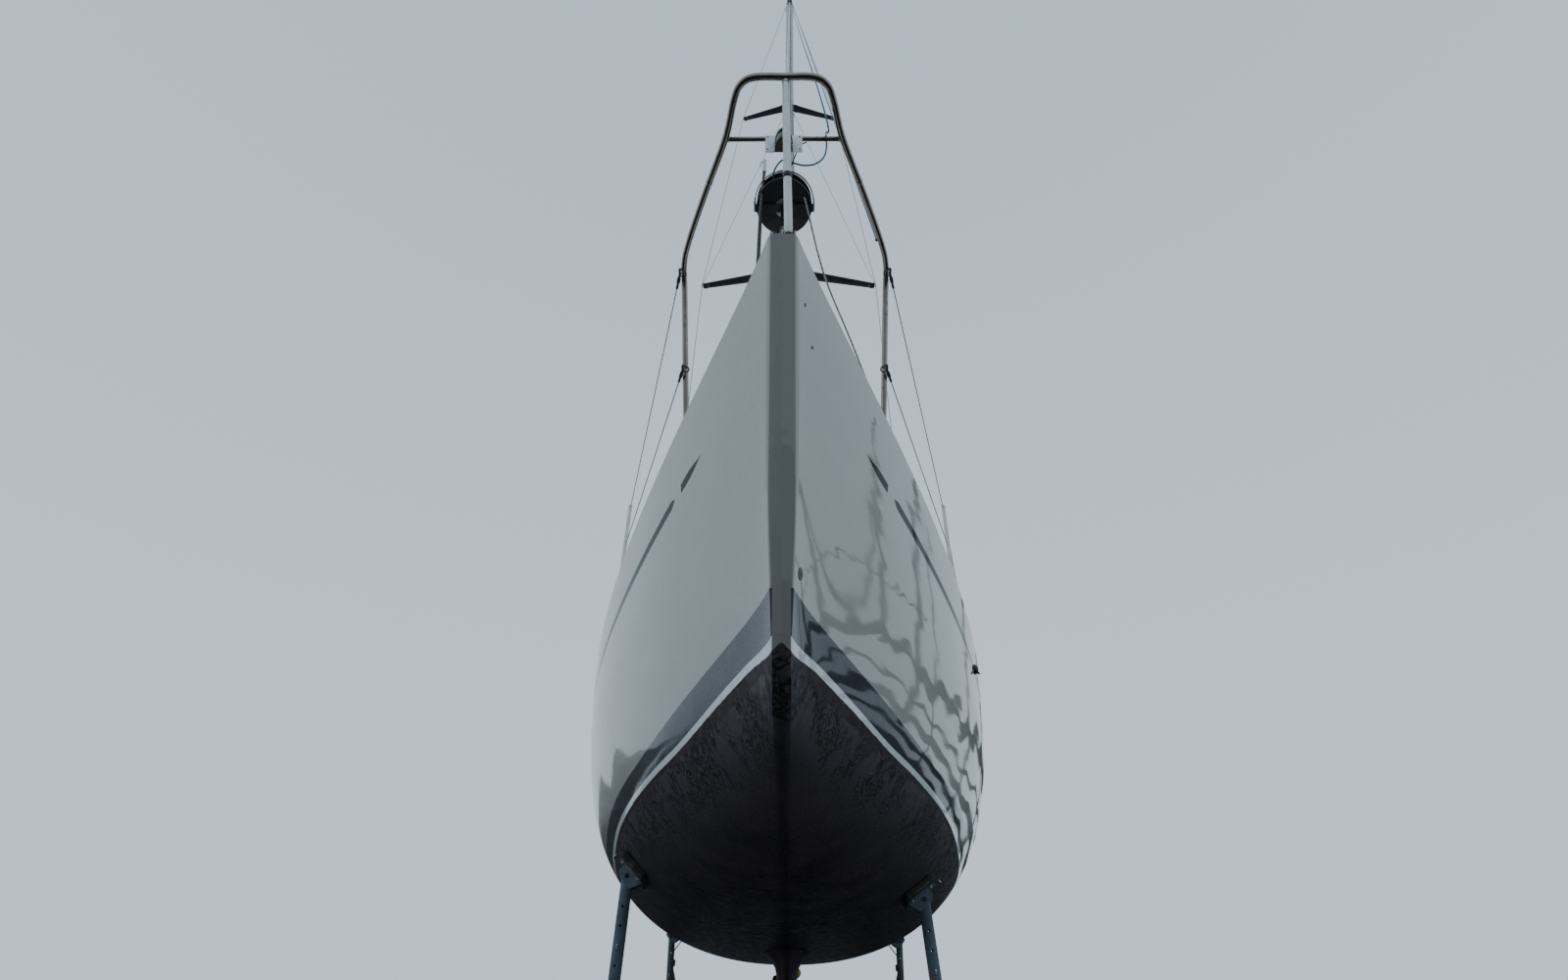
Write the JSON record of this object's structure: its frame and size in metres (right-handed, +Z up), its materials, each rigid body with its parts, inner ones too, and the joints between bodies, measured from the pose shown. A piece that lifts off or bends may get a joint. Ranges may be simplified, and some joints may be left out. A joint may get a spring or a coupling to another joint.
{
  "type": "sailing yacht",
  "caption": "Masthead-rigged sailing yacht laid up on a steel cradle, sails off, with turning rudder, wheel, boom, furler, propeller and opening hatches.",
  "frame": {"origin": "middle of the footprint, on the floor that the cradle stands on", "axes": "+Z up, -Y towards the bow, +Y towards the stern, +X to port"},
  "size_m": [3.4972, 11.1696, 16.917],
  "materials": {
    "hull_gelcoat": "glossy light grey-white gelcoat with a slate boot-top and a white band",
    "bottom_paint": "matt black antifouling with drips and runs",
    "deck_nonslip": "moulded deck with non-slip panels",
    "deck_gelcoat": "smooth gelcoat",
    "stainless": "polished stainless tube",
    "black_plastic": "black moulded housing",
    "black_fittings": "black anodised fittings",
    "mast_alloy": "anodised spar",
    "foil_alloy": "anodised extrusion",
    "wire": "stainless wire",
    "spreader_black": "dark anodised spreader",
    "hatch_acrylic": "smoked acrylic in an alloy frame",
    "window_acrylic": "smoked acrylic",
    "varnished_wood": "varnished ply",
    "white_enamel": "white enamel",
    "bronze": "dull bronze",
    "engine_paint": "painted block",
    "cradle_paint": "worn grey-blue paint over steel",
    "pad_board": "board faced pad",
    "timber": "rough timber",
    "chrome_winch": "chromed drum",
    "cloth": "dark blue cloth over foam"
  },
  "bodies": {
    "yacht": {"backstay": "wire", "bulkhead": "varnished_wood", "cabin_steps": "varnished_wood", "cradle_base": "cradle_paint", "cradle_pad_aft_port": "pad_board", "cradle_pad_aft_stbd": "pad_board", "cradle_pad_fwd_port": "pad_board", "cradle_pad_fwd_stbd": "pad_board", "cradle_post_aft_port": "cradle_paint", "cradle_post_aft_stbd": "cradle_paint", "cradle_post_fwd_port": "cradle_paint", "cradle_post_fwd_stbd": "cradle_paint", "deck": "deck_nonslip", "engine": "engine_paint", "gooseneck": "stainless", "hull": "hull_gelcoat", "keel": "bottom_paint", "keel_timbers": "timber", "mast": "mast_alloy", "masthead_crane": "black_fittings", "nav_lamp": "black_plastic", "pedestal": "white_enamel", "prop_strut": "bronze", "pulpit": "stainless", "pushpit_port": "stainless", "pushpit_stbd": "stainless", "settee_port": "cloth", "settee_stbd": "cloth", "shroud_port": "wire", "shroud_stbd": "wire", "spreader_high_port": "spreader_black", "spreader_high_stbd": "spreader_black", "spreader_low_port": "spreader_black", "spreader_low_stbd": "spreader_black", "stay_toggle": "stainless", "stem_fitting": "stainless", "toe_rail_port": "foil_alloy", "toe_rail_stbd": "foil_alloy", "traveller": "black_fittings", "vang_bracket": "stainless", "winch_port": "chrome_winch", "winch_stbd": "chrome_winch", "window_port": "window_acrylic", "window_stbd": "window_acrylic"},
    "rudder_body": {"rudder": "bottom_paint"},
    "wheel_body": {"wheel": "stainless"},
    "boom_body": {"boom": "mast_alloy", "vang": "mast_alloy"},
    "furler": {"furler_drum": "black_plastic", "stay_foil": "foil_alloy"},
    "propeller_body": {"prop_shaft": "stainless", "propeller": "bronze"},
    "anchor_lid_body": {"anchor_lid": "deck_gelcoat"},
    "fore_hatch_body": {"fore_hatch": "hatch_acrylic"},
    "saloon_hatch_body": {"saloon_hatch": "hatch_acrylic"},
    "companion_hatch_body": {"companion_hatch": "hatch_acrylic"},
    "door_port": {"companion_door_port": "varnished_wood"},
    "door_stbd": {"companion_door_stbd": "varnished_wood"},
    "locker_lid_port_body": {"locker_lid_port": "deck_gelcoat"},
    "locker_lid_stbd_body": {"locker_lid_stbd": "deck_gelcoat"}
  },
  "joints": [
    {"name": "rudder_turn", "type": "hinge", "parent": "yacht", "child": "rudder_body", "pos_m": [0, 4.32496, 1.9], "axis": [0, 0, 1], "range_deg": [-35, 35]},
    {"name": "wheel_turn", "type": "hinge", "parent": "yacht", "child": "wheel_body", "pos_m": [0, 4.01496, 3.31], "axis": [0, -1, 0], "range_deg": [-270, 270]},
    {"name": "boom_swing", "type": "hinge", "parent": "yacht", "child": "boom_body", "pos_m": [0, -1.03346, 4.48], "axis": [0, 0.0175, 0.9998], "range_deg": [-65, 65]},
    {"name": "furler_spin", "type": "hinge", "parent": "yacht", "child": "furler", "pos_m": [0, -5.22004, 3.454], "axis": [0, 0.2962, 0.9551], "continuous": true},
    {"name": "propeller_spin", "type": "hinge", "parent": "yacht", "child": "propeller_body", "pos_m": [0, 3.88496, 1.47645], "axis": [0, 0.9704, -0.2416], "continuous": true},
    {"name": "anchor_lid_hinge", "type": "hinge", "parent": "yacht", "child": "anchor_lid_body", "pos_m": [0, -4.24104, 3.3495], "axis": [-1, 0, 0], "range_deg": [0, 95]},
    {"name": "fore_hatch_hinge", "type": "hinge", "parent": "yacht", "child": "fore_hatch_body", "pos_m": [0, -3.04104, 3.335], "axis": [1, 0, 0], "range_deg": [0, 100]},
    {"name": "saloon_hatch_hinge", "type": "hinge", "parent": "yacht", "child": "saloon_hatch_body", "pos_m": [0, 0.03896, 3.631], "axis": [1, 0, 0], "range_deg": [0, 100]},
    {"name": "companion_hatch_slide", "type": "slide", "parent": "yacht", "child": "companion_hatch_body", "axis": [0, -1, 0], "range_m": [0, 0.6]},
    {"name": "door_port_hinge", "type": "hinge", "parent": "yacht", "child": "door_port", "pos_m": [0.312, 2.12756, 3.2], "axis": [0, 0, -1], "range_deg": [0, 170]},
    {"name": "door_stbd_hinge", "type": "hinge", "parent": "yacht", "child": "door_stbd", "pos_m": [-0.312, 2.12756, 3.2], "axis": [0, 0, 1], "range_deg": [0, 170]},
    {"name": "locker_lid_port_hinge", "type": "hinge", "parent": "yacht", "child": "locker_lid_port_body", "pos_m": [0.87, 2.89496, 2.9837], "axis": [0, 1, 0], "range_deg": [0, 80]},
    {"name": "locker_lid_stbd_hinge", "type": "hinge", "parent": "yacht", "child": "locker_lid_stbd_body", "pos_m": [-0.87, 2.89496, 2.9837], "axis": [0, -1, 0], "range_deg": [0, 80]}
  ],
  "couplings": [
    {"joint": "wheel_turn", "follows": "rudder_turn", "ratio": 7.7}
  ]
}
